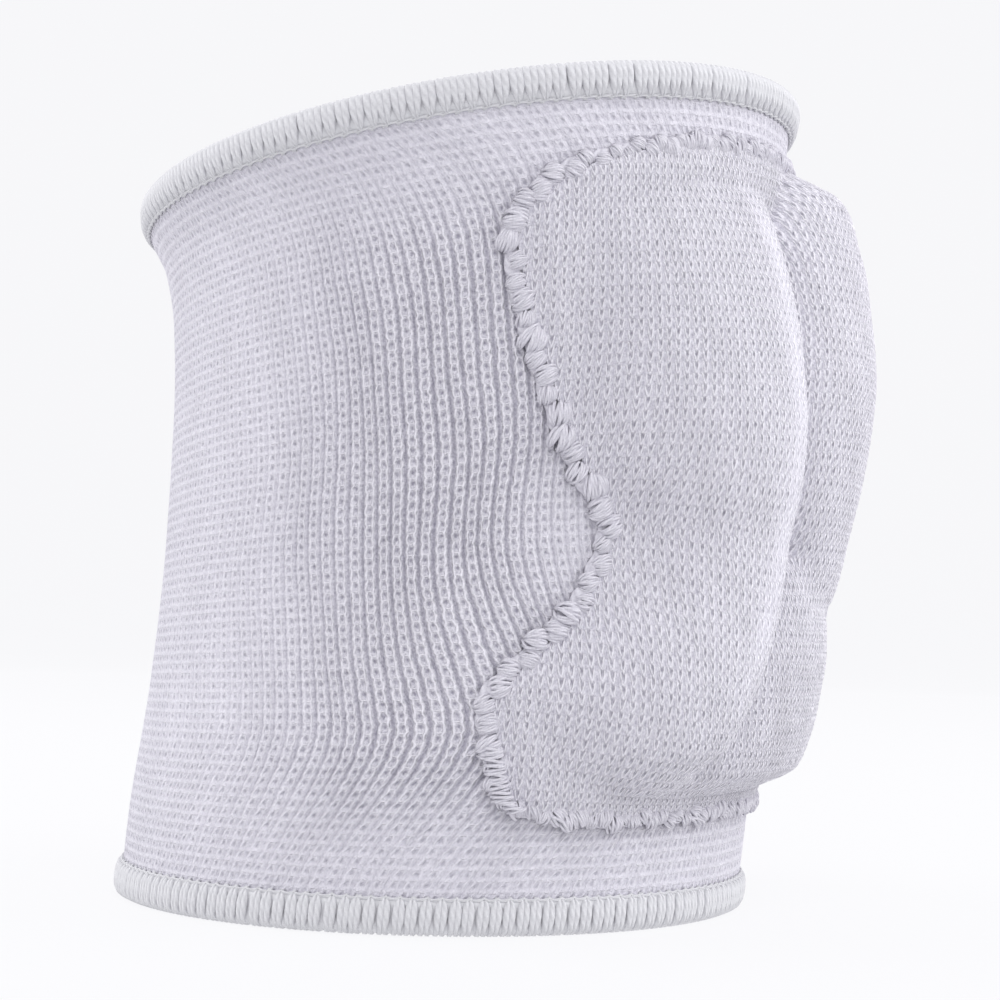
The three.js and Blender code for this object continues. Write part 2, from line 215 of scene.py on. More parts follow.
def tube_point(theta, level, lift):
    """A point of the tube; theta turns from the front, -Y, towards +X."""
    radius = curve(SECTIONS, "level", "radius", level) * TUBE_RADIUS + lift
    forward = curve(SECTIONS, "level", "forward", level) * TUBE_RADIUS
    x = radius * np.sin(theta)
    y = -forward - radius * np.cos(theta)
    return np.stack(np.broadcast_arrays(x, y, level * rim_height(theta)), -1)


def kneecap_half(share):
    across = np.maximum(0, 1 - np.abs(2 * share - 1) ** KNEECAP_ROUNDNESS)
    return KNEECAP_WIDTH / 2 * across ** (1 / KNEECAP_ROUNDNESS)


def share_of(limits, rise):
    return (rise - limits[0]) / (limits[1] - limits[0])


def kneecap_lift(across, rise):
    share = share_of(KNEECAP_RISE, rise)
    half = kneecap_half(share)
    crown = curve(KNEECAP_CROWN, "share", "lift", share) * KNEECAP_LIFT
    over = crown * rounded(across / np.maximum(half, 1e-6), KNEECAP_ROUNDNESS)
    return np.where(half > np.abs(across), over, 0)


def shin_half(share):
    return curve(SHIN_CROWN, "share", "half", share) * SHIN_WIDTH / 2


def shin_lift(across, rise):
    share = share_of(SHIN_RISE, rise)
    half = shin_half(share)
    crown = curve(SHIN_CROWN, "share", "lift", share) * SHIN_LIFT
    return np.where((share > 0) & (share < 1), crown * rounded(across / half, SHIN_ROUNDNESS), 0)


def seam_half(rise):
    return curve(SEAM, "rise", "half", rise) * HALF_POCKET


def side_ridge(rise):
    return curve(SIDE_RIDGE, "rise", "ridge", rise) * HALF_POCKET


def side_lift(across, rise):
    out = np.abs(across)
    ridge = side_ridge(rise)
    lift = curve(SIDE_RIDGE, "rise", "lift", rise) * SIDE_LIFT
    share = np.clip((seam_half(rise) - out) / (seam_half(rise) - ridge), 0, 1)
    softness = 1e-6 + SIDE_EDGE_LENGTH * (1 - share)
    edge = 1 - np.exp(-np.maximum(0, rise - SIDE_EDGE_AT) / softness)
    slope = lift * edge * np.sin(share * math.pi / 2)
    roll = lift * rounded(np.minimum(1, (ridge - out) / SIDE_ROLL), 2)
    return np.where(out < ridge, roll, slope)


def cover_lift(across, rise):
    """Lift of the cover's outer face over the tube."""
    cushions = bridged(kneecap_lift(across, rise), shin_lift(across, rise))
    raised = bridged(cushions, side_lift(across, rise)) - FOLD_SOFTNESS
    return PIECE_GAP + COVER_WALL + np.maximum(0, raised - COVER_WALL)


def pocket_point(across, rise, lift):
    level = (LOWER_BAND + rise * POCKET_HEIGHT) / FRONT_HEIGHT
    return tube_point(across / WRAP_RADIUS, level, lift)


def way_out(surface, across, rise, step):
    """The way out of a surface that is given as points by their place across and up the pocket."""
    raised = step / POCKET_HEIGHT
    sideways = surface(across + step, rise) - surface(across - step, rise)
    upwards = surface(across, rise + raised) - surface(across, rise - raised)
    return unit(np.cross(sideways, upwards))


def inset_half(rise, margin):
    """Half width of the outline that runs inside the seam's at a margin."""
    aside = margin * np.linspace(-1, 1, 17)
    reach = np.sqrt(margin**2 - aside**2)
    return np.min(seam_half(np.asarray(rise)[..., None] + aside / POCKET_HEIGHT) - reach, axis=-1)


def frame_shift():
    """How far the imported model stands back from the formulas' own middle."""
    across, rise = np.meshgrid(np.linspace(-HALF_POCKET, HALF_POCKET, 241), np.linspace(0, 1, 241))
    front = pocket_point(across, rise, cover_lift(across, rise))[..., 1].min()
    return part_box("pad_cover")[0].y / MM - front


OFFSET = np.array([0, frame_shift(), 0])


def add_object(name, data, axes=np.eye(3), place=(0, 0, 0)):
    """An object in the scene, with its own axes turned to these and its origin at a place."""
    obj = bpy.data.objects.new(name, data)
    obj.matrix_world = Matrix.Translation(place) @ Matrix(axes).transposed().to_4x4()
    bpy.context.scene.collection.objects.link(obj)
    return obj


def build_mesh(name, points, quads, polygons=(), maps=None, period=None, shares=None):
    """A mesh object in metres from points in millimetres, quads as an array and other polygons as
    lists. maps gives each UV map's values by vertex, and period its turn round a closed ring.
    shares gives numbers from 0 to 1 by vertex that the materials read."""
    loops = np.concatenate([np.asarray(quads, int).ravel(), *polygons])
    sizes = np.array([4] * len(quads) + [len(face) for face in polygons])
    starts = np.concatenate([[0], np.cumsum(sizes)[:-1]])
    used = np.unique(loops)
    renumber = np.zeros(len(points), int)
    renumber[used] = np.arange(len(used))
    mesh = bpy.data.meshes.new(name)
    mesh.vertices.add(len(used))
    mesh.vertices.foreach_set("co", ((points[used] + OFFSET) * MM).ravel())
    mesh.loops.add(len(loops))
    mesh.loops.foreach_set("vertex_index", renumber[loops])
    mesh.polygons.add(len(sizes))
    mesh.polygons.foreach_set("loop_start", starts)
    mesh.polygons.foreach_set("use_smooth", np.ones(len(sizes), bool))
    for map_name, values in (maps or {}).items():
        corner_values = values[loops]
        if period:
            turn = period[map_name]
            highest = np.maximum.reduceat(corner_values[:, 0], starts)
            behind = np.repeat(highest, sizes) - corner_values[:, 0] > turn / 2
            corner_values[behind, 0] += turn
        layer = mesh.uv_layers.new(name=map_name)
        layer.data.foreach_set("uv", corner_values.ravel())
    for share_name, values in (shares or {}).items():
        mesh.attributes.new(share_name, "FLOAT", "POINT").data.foreach_set("value", values[used])
    mesh.update(calc_edges=True)
    mesh.validate()
    return add_object(name, mesh)


def dress(obj, material, node):
    obj.data.materials.append(material)
    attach(obj, "root")
    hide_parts(node)


def set_inputs(node, values):
    for name, value in values.items():
        node.inputs[name].default_value = value


class Field:
    """A number that varies over a surface, worked out by the shader's own Math nodes."""

    def __init__(self, tree, socket):
        self.tree = tree
        self.socket = socket

    def apply(self, operation, *others):
        node = self.tree.nodes.new("ShaderNodeMath")
        node.operation = operation
        for socket, value in zip(node.inputs, (self, *others)):
            if isinstance(value, Field):
                self.tree.links.new(value.socket, socket)
            else:
                socket.default_value = value
        return Field(self.tree, node.outputs[0])

    def __add__(self, other):
        return self.apply("ADD", other)

    def __sub__(self, other):
        return self.apply("SUBTRACT", other)

    def __mul__(self, other):
        return self.apply("MULTIPLY", other)

    def __abs__(self):
        return self.apply("ABSOLUTE")

    def most(self, other):
        return self.apply("MAXIMUM", other)

    def fraction(self):
        return self.apply("FRACT")

    def inverse(self):
        return (self * -1) + 1

    def length(self, other):
        return ((self * self) + (other * other)).apply("SQRT")

    def ramp(self, low, high):
        """Climbs smoothly from 0 at low to 1 at high."""
        node = self.tree.nodes.new("ShaderNodeMapRange")
        node.interpolation_type = "SMOOTHSTEP"
        set_inputs(node, {"From Min": low, "From Max": high})
        self.tree.links.new(self.socket, node.inputs["Value"])
        return Field(self.tree, node.outputs["Result"])


class Cloth:
    """A procedural cloth material under construction."""

    def __init__(self, name, roughness, sheen):
        self.material = bpy.data.materials.new(name)
        self.material.use_nodes = True
        self.tree = self.material.node_tree
        self.shader = self.tree.nodes["Principled BSDF"]
        set_inputs(self.shader, {"Roughness": roughness, "Specular IOR Level": 0.25})
        set_inputs(self.shader, {"Sheen Weight": sheen, "Sheen Roughness": 0.5})

    def uv(self, name):
        """The two coordinates of a UV map."""
        node = self.tree.nodes.new("ShaderNodeUVMap")
        node.uv_map = name
        split = self.tree.nodes.new("ShaderNodeSeparateXYZ")
        self.tree.links.new(node.outputs["UV"], split.inputs[0])
        return Field(self.tree, split.outputs["X"]), Field(self.tree, split.outputs["Y"])

    def share(self, name):
        """A number stored with the mesh."""
        node = self.tree.nodes.new("ShaderNodeAttribute")
        node.attribute_name = name
        return Field(self.tree, node.outputs["Fac"])

    def noise(self, scale, detail):
        """Noise in the object's own space, from 0 to 1."""
        place = self.tree.nodes.new("ShaderNodeTexCoord")
        node = self.tree.nodes.new("ShaderNodeTexNoise")
        set_inputs(node, {"Scale": scale, "Detail": detail})
        self.tree.links.new(place.outputs["Object"], node.inputs["Vector"])
        return Field(self.tree, node.outputs["Fac"])

    def fibres(self, u, v, across, along):
        """Fine streaks, this many across and along a stitch, centred on 0."""
        join = self.tree.nodes.new("ShaderNodeCombineXYZ")
        self.tree.links.new((u * across).socket, join.inputs[0])
        self.tree.links.new((v * along).socket, join.inputs[1])
        node = self.tree.nodes.new("ShaderNodeTexNoise")
        set_inputs(node, {"Scale": 1, "Detail": 3, "Roughness": 0.65})
        self.tree.links.new(join.outputs[0], node.inputs["Vector"])
        return Field(self.tree, node.outputs["Fac"]) - 0.5

    def colour(self, brightness, dark, light):
        """Base colour between a dark and a light tone."""
        mix = self.tree.nodes.new("ShaderNodeMix")
        mix.data_type = "RGBA"
        set_inputs(mix, {"A": (*dark, 1), "B": (*light, 1)})
        self.tree.links.new(brightness.socket, mix.inputs["Factor"])
        self.tree.links.new(mix.outputs["Result"], self.shader.inputs["Base Color"])

    def bump(self, height, depth):
        """Relief with this depth in millimetres between a height of 0 and 1."""
        node = self.tree.nodes.new("ShaderNodeBump")
        set_inputs(node, {"Strength": 1, "Distance": depth * MM})
        self.tree.links.new(height.socket, node.inputs["Height"])
        self.tree.links.new(node.outputs["Normal"], self.shader.inputs["Normal"])


# Size of a rib stitch in the material's pattern, in millimetres
WALE_PITCH = 2.65
COURSE_PITCH = 1.83

# Yarn tones, a light lavender white; the knits' painted shade in grooves and holes goes towards the
# dark one
YARN_DARK = (0.36, 0.345, 0.43)
YARN_LIGHT = (0.93, 0.91, 0.99)


def rib_knit():
    """Chains of loops with a mottled groove between one chain and the next; painted shade darkens the
    grooves and the holes between loops.
    """
    cloth = Cloth("rib_knit", 0.92, 0.25)
    u, v = cloth.uv("knit")
    wander = cloth.fibres(u, v, 0.9, 0.9) * 0.34
    streak = cloth.fibres(u, v, 9, 3)
    x = abs((u + wander + 0.5).fraction() - 0.5) * WALE_PITCH
    y = (v + wander).fraction()
    bulge = y * y.inverse() * 0.8
    side = abs(x - bulge - 0.5).ramp(0.08, 0.4).inverse()
    arc = abs(y * COURSE_PITCH - (x * x * 0.5) - 0.25).ramp(0.03, 0.26).inverse()
    opened = cloth.share("opened")
    strand = (side * (opened * 0.5 + 0.5)).most(arc * x.ramp(0.45, 0.85).inverse() * 0.75)
    row = abs(y - 0.25).ramp(0.05, 0.35).inverse()
    strand = strand.most(row * opened.inverse() * 0.5)
    loop_gap = x.length((y - 0.7) * 1.3).ramp(0.06, 0.38).inverse()
    groove = (x - (opened.inverse() * 0.24)).ramp(0.9, 1.14) * (opened * 0.4 + 0.6)
    fuzz = cloth.noise(2600, 2) - 0.5
    height = strand * 0.8 + (loop_gap * -0.5) + (groove * -0.3) + (streak * 0.9) + (fuzz * 0.5)
    # Tone follows the relief as painted light and shade: lighter on the raised strands, darker in the
    # grooves and in the holes between loops.
    tone = strand * 0.42 + (loop_gap * -0.5) + (groove * -0.32) + (streak * 1.3) + (fuzz * 0.7)
    uneven = cloth.noise(60, 3) * 0.16 + (cloth.fibres(u, v, 1.7, 1.7) * 0.5)
    # Where the ribs close up, the painted shade is weaker and the tone a little lighter.
    tone = (tone - 0.12) * (opened * 0.45 + 0.55) + 0.61
    cloth.colour(tone + uneven, YARN_DARK, YARN_LIGHT)
    cloth.bump(height, 0.42)
    return cloth.material


def cover_knit():
    """Rows of steep strands that part in pairs, with a small hole inside each pair; painted shade
    darkens the holes and the sunk places between strands and rows.
    """
    cloth = Cloth("cover_knit", 0.92, 0.25)
    u, v = cloth.uv("knit")
    wander = cloth.fibres(u, v, 0.8, 0.8) * 0.4
    streak = cloth.fibres(u, v, 7, 2.4)
    x = abs((u + wander + 0.5).fraction() - 0.5)
    y = (v + wander).fraction()
    leg = abs(x - (y * 0.2) - 0.1).ramp(0.03, 0.17).inverse()
    leg = leg * y.ramp(0.0, 0.2) * y.ramp(0.84, 1.0).inverse()
    meet = x.ramp(0.03, 0.2).inverse() * y.ramp(0.74, 1.0).most(y.ramp(0.0, 0.3).inverse())
    strand = leg.most(meet)
    hole = x.ramp(0.03, 0.25).inverse() * y.ramp(0.3, 0.6) * y.ramp(0.66, 0.94).inverse()
    beside = x.ramp(0.3, 0.5) * y.ramp(0.1, 0.7).inverse()
    between = abs(y - 0.88).ramp(0.02, 0.16).inverse()
    fuzz = cloth.noise(2600, 2) - 0.5
    # The hole, the place beside the legs and the line between rows sink in the bump and are darkened in
    # the tone as painted shade.
    sunk = hole * -0.42 + (beside * -0.24) + (between * -0.16)
    height = strand * 0.8 + sunk + (streak * 0.9) + (fuzz * 0.5)
    # Tone follows the relief as painted light and shade: lighter on the strands, darker where sunk.
    tone = strand * 0.46 + sunk + (streak * 1.3) + (fuzz * 0.7)
    uneven = cloth.noise(60, 3) * 0.16 + (cloth.fibres(u, v, 1.6, 1.6) * 0.5)
    # Painted highlight along the ridge: the stitches' tone contrast is halved there, which lifts the
    # tone a little, and the bump is flattened.
    ridge_highlight = cloth.share("ridge_highlight")
    tone = (tone - 0.1) * (ridge_highlight * -0.5 + 1) + 0.66
    cloth.colour(tone + uneven, YARN_DARK, YARN_LIGHT)
    cloth.bump(height * (ridge_highlight * -0.5 + 1), 0.36)
    return cloth.material


def thread(name, plies, dark, light):
    """Plied thread: fine lines that turn slowly round it, with painted shade where the plies sink."""
    cloth = Cloth(name, 0.85, 0.2)
    u, v = cloth.uv("knit")
    ply = abs((u * plies + (v * 0.5)).fraction() - 0.5) * 2
    fibre = cloth.noise(3000, 3)
    cloth.colour(ply * 0.35 + (fibre * 0.6) + 0.1, dark, light)
    cloth.bump(ply * 0.6 + (fibre * 0.5), 0.14)
    return cloth.material


def foam():
    """Open foam: small round pores, darkened with painted shade."""
    cloth = Cloth("foam", 0.95, 0.0)
    pores = cloth.noise(1400, 4)
    cloth.colour(pores.ramp(0.3, 0.7), (0.5, 0.5, 0.46), (0.75, 0.75, 0.7))
    cloth.bump(pores, 0.3)
    return cloth.material


# Stitch lattice: places across one stitch and relief there against the row up the stitch.
# Columns of the relief are the stitch's left border, left strand, middle and right strand.
ROWS_PER_STITCH = 3
UNEVENNESS = 0.16
RIB_PLACES = np.array([-0.5, -0.32, 0.0, 0.32])
RIB_RELIEF = np.array([
    [-0.8, -0.2, -0.08, -0.2],
    [-0.6, 0.0, -0.24, 0.0],
    [-0.75, -0.05, -0.44, -0.05],
])
COVER_PLACES = np.array([-0.5, -0.25, 0.0, 0.25])
COVER_RELIEF = np.array([
    [-0.34, -0.22, -0.08, -0.22],
    [-0.26, -0.02, -0.14, -0.02],
    [-0.18, 0.0, -0.32, 0.0],
])

# Beside the notch of the seam the ribs close up: its place across and up, and how far it reaches
NOTCH_PLACE = (65.0, 70.0)
NOTCH_REACH = (11.0, 19.0)
NOTCH_CLOSING = 0.68

# Sleeve knit: stitches round and up, and how far inside the seam it turns plain
WALES = 146
COURSES = 73
INSIDE_COURSES = 18
PLAIN_INSIDE_SEAM = 1.5

# The ribs open up away from the rims, in millimetres, and close again behind, in radians
OPEN_ABOVE_RIM = (4.0, 26.0)
OPEN_UNTIL = (1.5, 2.25)
CLOSED_RELIEF = 0.3

# By these degrees the wales lean round the tube, most at WARP_PEAK from the front, and are
# spread apart beside the pocket, over SPREAD_WIDTH in front of SPREAD_PEAK
WARP_PEAK = 72.0
SPREAD_PEAK = 94.0
SPREAD_WIDTH = 24.0
WARP = table("level lean spread", [
    (0.0, 8.4, 1.0),
    (0.045, 5.0, 1.4),
    (0.09, 1.0, 2.0),
    (0.12, -2.2, 2.5),
    (0.16, -6.8, 3.1),
    (0.21, -11.4, 3.7),
    (0.235, -12.2, 3.8),
    (0.262, -11.2, 3.7),
    (0.29, -9.4, 3.3),
    (0.33, -6.4, 2.4),
    (0.37, -3.6, 1.4),
    (0.415, -1.1, 0.6),
    (0.455, 0.1, 0.3),
    (0.5, 0.4, 0.3),
    (0.56, 0.2, 0.6),
    (0.67, 1.3, 1.6),
    (0.74, 2.5, 2.1),
    (0.8, 3.9, 2.4),
    (0.85, 5.7, 2.4),
    (0.9, 8.8, 2.2),
    (0.95, 13.3, 1.8),
    (1.0, 18.5, 1.0),
])


def stitch_relief(relief, across_count, up_count):
    """Relief of a whole knit, from that of one stitch, with a little unevenness."""
    uneven = 1 + UNEVENNESS * RANDOM.standard_normal((up_count, across_count))
    uneven = np.repeat(np.repeat(uneven, ROWS_PER_STITCH, 0), relief.shape[1], 1)
    whole = np.tile(relief, (up_count, across_count)) * uneven
    return np.vstack([whole, whole[:1]])


def perimeter(course, wale, places):
    """Lattice places round one stitch, anticlockwise from outside, and whether each is a corner."""
    j, i = course * ROWS_PER_STITCH, wale * places
    top, right = j + ROWS_PER_STITCH, i + places
    walk = [(j, i + n) for n in range(places)]
    walk += [(j + n, right) for n in range(ROWS_PER_STITCH)]
    walk += [(top, right - n) for n in range(places)]
    walk += [(top - n, i) for n in range(ROWS_PER_STITCH)]
    return [(a, b, a in (j, top) and b in (i, right)) for a, b in walk]


def without_spurs(loop):
    """A polygon without repeated corners or edges that run out and straight back."""
    n = 0
    while n < len(loop) and len(loop) > 2:
        after = (n + 1) % len(loop)
        if loop[n] == loop[after]:
            gone = (n,)
        elif loop[n - 1] == loop[after]:
            gone = (n, after)
        else:
            n += 1
            continue
        loop = [corner for m, corner in enumerate(loop) if m not in gone]
        n = 0
    return loop


def grid_ids(points, first=0, columns_wrap=False, rows_wrap=False):
    """The numbers of a grid of points, with its first column or row once more where it closes."""
    ids = first + np.arange(points[..., 0].size).reshape(points.shape[:2])
    if rows_wrap:
        ids = np.vstack([ids, ids[:1]])
    if columns_wrap:
        ids = np.hstack([ids, ids[:, :1]])
    return ids


def lattice_quads(ids, shown=None):
    """The faces of a grid, all of them or those that are shown."""
    quads = np.stack([ids[:-1, :-1], ids[:-1, 1:], ids[1:, 1:], ids[1:, :-1]], -1)
    return quads.reshape(-1, 4) if shown is None else quads[shown]


# Bake map: a knit's inside is laid out below its outside
BAKE_WIDTH = 0.98
BAKE_MARGIN = 0.01
BAKE_INSIDE = 0.13
BAKE_OUTSIDE = 0.84
BAKE_OUTSIDE_START = 0.15


def knit_maps(outside, inside, wales, courses):
    """The maps of a knit: its stitches, and both sides laid out in one square for baking."""
    out = outside * [BAKE_WIDTH / wales, BAKE_OUTSIDE / courses] + [BAKE_MARGIN, BAKE_OUTSIDE_START]
    within = inside * [BAKE_WIDTH / wales, BAKE_INSIDE / courses] + [BAKE_MARGIN, BAKE_MARGIN]
    return {"knit": np.vstack([outside, inside]), "OFBake": np.vstack([out, within])}


def sleeve_place(u, share, lift):
    """A point of the sleeve at a wale, a share of the way up and a lift."""
    end = BINDING_HEIGHT - BINDING_GRIP + PIECE_GAP
    low = end / FRONT_HEIGHT
    turn = u / WALES * 360 - 180
    fall = np.where(np.abs(turn) < WARP_PEAK, np.abs(turn) / WARP_PEAK,
                    (180 - np.abs(turn)) / (180 - WARP_PEAK))
    level = low + share * (1 - 2 * low)
    lean = curve(WARP, "level", "lean", level) * fall
    back = (180 - np.abs(turn)) / (180 - SPREAD_PEAK)
    apart = np.minimum(smoothstep(SPREAD_PEAK - SPREAD_WIDTH, SPREAD_PEAK, np.abs(turn)), back)
    spread = curve(WARP, "level", "spread", level) * apart
    theta = np.radians(turn + np.sign(turn) * (lean + spread))
    height = end + share * (rim_height(theta) - 2 * end)
    return tube_point(theta, height / rim_height(theta), lift), theta, height


def sleeve():
    """The ribbed tube: every stitch in relief outside, the middle of the covered part plain."""
    places = len(RIB_PLACES)
    u = (np.arange(WALES)[:, None] + RIB_PLACES).ravel()
    u, share = np.meshgrid(u, np.linspace(0, 1, COURSES * ROWS_PER_STITCH + 1))
    round_tube = u / WALES * 2 * math.pi
    drift = 0.06 * np.sin(round_tube * 24 + 9 * share) + 0.1 * np.sin(round_tube * 8 - 23 * share)
    _, theta, height = sleeve_place(u + drift, share, 0.0)
    rim = np.minimum(height, rim_height(theta) - height) - BINDING_HEIGHT
    opened = smoothstep(*OPEN_ABOVE_RIM, rim) * (1 - smoothstep(*OPEN_UNTIL, np.abs(theta)))
    aside = (np.abs(theta) * WRAP_RADIUS - NOTCH_PLACE[0]) / NOTCH_REACH[0]
    above = (height - NOTCH_PLACE[1]) / NOTCH_REACH[1]
    opened = opened * (1 - NOTCH_CLOSING * np.exp(-(aside**2) - above**2))
    relief = stitch_relief(RIB_RELIEF, WALES, COURSES)
    relief = relief * (CLOSED_RELIEF + (1 - CLOSED_RELIEF) * opened) * smoothstep(-1, 2, rim)
    outer, _, _ = sleeve_place(u + drift, share, relief)
    ids = grid_ids(outer, columns_wrap=True)

    at_theta, at_height = (grid[1:-1:ROWS_PER_STITCH, 2::places] for grid in (theta, height))
    at_level = at_height / rim_height(at_theta)
    rise = (at_level * FRONT_HEIGHT - LOWER_BAND) / POCKET_HEIGHT
    margin = PLAIN_INSIDE_SEAM + SEAM_WIDTH / 2
    covered = np.abs(at_theta) * WRAP_RADIUS < inset_half(rise, margin)
    covered &= np.abs(rise - 0.5) < 0.5 - margin / POCKET_HEIGHT
    shown = np.repeat(np.repeat(~covered, ROWS_PER_STITCH, 0), places, 1)
    quads = lattice_quads(ids, shown)
    fine = np.zeros(ids.max() + 1, bool)
    fine[quads] = True
    polygons = []
    for course, wale in np.argwhere(covered):
        around = [(ids[j, i], corner) for j, i, corner in perimeter(course, wale, places)]
        polygons.append([n for n, corner in around if corner or fine[n]])

    in_u, in_share = np.meshgrid(np.arange(WALES) - 0.5, np.linspace(0, 1, INSIDE_COURSES + 1))
    inner, _, _ = sleeve_place(in_u, in_share, -SLEEVE_WALL)
    in_ids = grid_ids(inner, outer[..., 0].size, columns_wrap=True)
    inside = lattice_quads(in_ids)[:, ::-1]
    for wale in range(WALES):
        along = slice(wale * places, (wale + 1) * places + 1)
        polygons.append([*ids[0, along][::-1], *in_ids[0, wale:wale + 2]])
        polygons.append([*ids[-1, along], *in_ids[-1, wale:wale + 2][::-1]])

    points = np.vstack([outer.reshape(-1, 3), inner.reshape(-1, 3)])
    knit_out = np.stack([u, share * COURSES], -1).reshape(-1, 2)
    knit_in = np.stack([in_u, in_share * COURSES], -1).reshape(-1, 2)
    maps = knit_maps(knit_out, knit_in, WALES, COURSES)
    turns = {"knit": WALES, "OFBake": BAKE_WIDTH}
    shares = {"opened": np.concatenate([opened.ravel(), np.zeros(in_u.size)])}
    quads = np.vstack([quads, inside])
    return build_mesh("rib_sleeve", points, quads, polygons, maps, turns, shares)


# Cover knit
COVER_WALES = 113
COVER_COURSES = 60
COVER_UNDER_SEAM = 0.9
COVER_EDGE = 6.0
COVER_EDGE_LIFT = 0.7
# A band of painted highlight along the ridge: how far beyond the ridge it is centred, and how far it
# reaches
HIGHLIGHT_BEYOND_RIDGE = 0.8
HIGHLIGHT_REACH = 3.0

# How far the rows hang down over the cushions, in millimetres
DROOP = table("rise down", [
    (0.0, 0.0),
    (0.1, 4.6),
    (0.3, 5.5),
    (0.45, 3.5),
    (0.55, 1.0),
    (0.65, 0.0),
    (1.0, 0.0),
])


def even_across():
    """Distances across whose strips are equally wide over the cushions."""
    across = np.linspace(-HALF_POCKET, HALF_POCKET, 801)
    lengths = []
    for rise in (0.2, 0.45, 0.65):
        profile = pocket_point(across, rise, cover_lift(across, rise))
        lengths.append(np.linalg.norm(np.diff(profile, axis=0), axis=1))
    along = np.concatenate([[0], np.cumsum(np.mean(lengths, axis=0))])
    return along / along[-1], across


def cover():
    """The pocket's knit, with every stitch in relief outside and plain inside."""
    places = len(COVER_PLACES)
    margin = COVER_UNDER_SEAM
    low = margin / POCKET_HEIGHT
    share, across_at = even_across()
    u = (np.arange(COVER_WALES)[:, None] + COVER_PLACES + 0.5).ravel()
    u = np.append(u, COVER_WALES)
    rows = COVER_COURSES * ROWS_PER_STITCH + 1
    rise = low + (1 - 2 * low) * np.linspace(0, 1, rows)
    u, row_rise = np.meshgrid(u, rise)
    wander = 0.1 * np.sin(u * 0.9 + 30 * row_rise) * np.sin(math.pi * u / COVER_WALES)
    across = np.interp((u + wander) / COVER_WALES, share, across_at)
    half = inset_half(rise, margin)[:, None]
    beyond = np.abs(across) >= half
    border_u = np.interp(np.hstack([-half, half]), across_at, share) * COVER_WALES
    side = (across > 0).astype(int)
    across = np.clip(across, -half, half)
    u = np.where(beyond, np.take_along_axis(border_u, side, 1), u)
    droop = curve(DROOP, "rise", "down", row_rise) * smoothstep(0, 0.5, 1 - np.abs(across) / half)
    rise = row_rise - droop / POCKET_HEIGHT
    levels = np.linspace(0, 1, 400)
    narrow = inset_half(levels, margin)

    def inset_at(a, r):
        edge = np.interp(r, levels, narrow)
        return np.minimum(edge - np.abs(a), np.minimum(r - low, 1 - low - r) * POCKET_HEIGHT)

    def surface(a, r):
        rise_in = smoothstep(-2.5, COVER_EDGE, inset_at(a, r))
        thickness = PIECE_GAP + COVER_WALL
        cushioned = smoothstep(-0.8, 2.2, (1 - low - r) * POCKET_HEIGHT)
        lift = thickness + (cover_lift(a, r) - thickness) * cushioned
        return pocket_point(a, r, COVER_EDGE_LIFT + (lift - COVER_EDGE_LIFT) * rise_in)

    inset = inset_at(across, rise)
    outer = surface(across, rise)
    normal = way_out(surface, across, rise, 0.3)
    relief = stitch_relief(COVER_RELIEF, COVER_WALES, COVER_COURSES)
    relief = np.hstack([relief, relief[:, :1]]) * smoothstep(0, 3, inset)
    outer = outer + normal * relief[..., None]
    ids = grid_ids(outer)
    border = beyond.copy()
    border[[0, -1]] = True
    ids = np.where(beyond, np.where(side == 0, ids[:, :1], ids[:, -1:]), ids)
    quads = lattice_quads(ids)
    whole = np.array([len(set(face)) == 4 for face in quads.tolist()])
    polygons = quads[~whole].tolist()

    depth = np.minimum(COVER_WALL * 0.6, 0.25 + inset * 0.15)[..., None]
    inner = outer - normal * depth
    count = outer[..., 0].size
    inner_ids = np.where(border, ids, ids + count)
    for course, wale in np.ndindex(COVER_COURSES, COVER_WALES):
        around = perimeter(course, wale, places)
        if not all(beyond[j, i] for j, i, _ in around):
            face = [inner_ids[j, i] for j, i, corner in around if corner or border[j, i]]
            polygons.append(face[::-1])
    polygons = [face for face in map(without_spurs, polygons) if len(face) > 2]
    points = np.vstack([outer.reshape(-1, 3), inner.reshape(-1, 3)])
    knit = np.stack([u - 0.5, (row_rise - low) / (1 - 2 * low) * COVER_COURSES], -1).reshape(-1, 2)
    maps = knit_maps(knit, knit, COVER_WALES, COVER_COURSES)
    # Painted highlight along the ridge, faded out towards the pocket's top and bottom
    from_ridge = np.abs(across) - side_ridge(rise)
    ridge_highlight = np.exp(-((from_ridge - HIGHLIGHT_BEYOND_RIDGE) / HIGHLIGHT_REACH) ** 2)
    ridge_highlight = ridge_highlight * smoothstep(0.12, 0.3, rise) * (1 - smoothstep(0.86, 0.97, rise))
    shares = {"ridge_highlight": np.concatenate([ridge_highlight.ravel(), np.zeros(ridge_highlight.size)])}
    return build_mesh("knit_cover", points, quads[whole], polygons, maps, shares=shares)


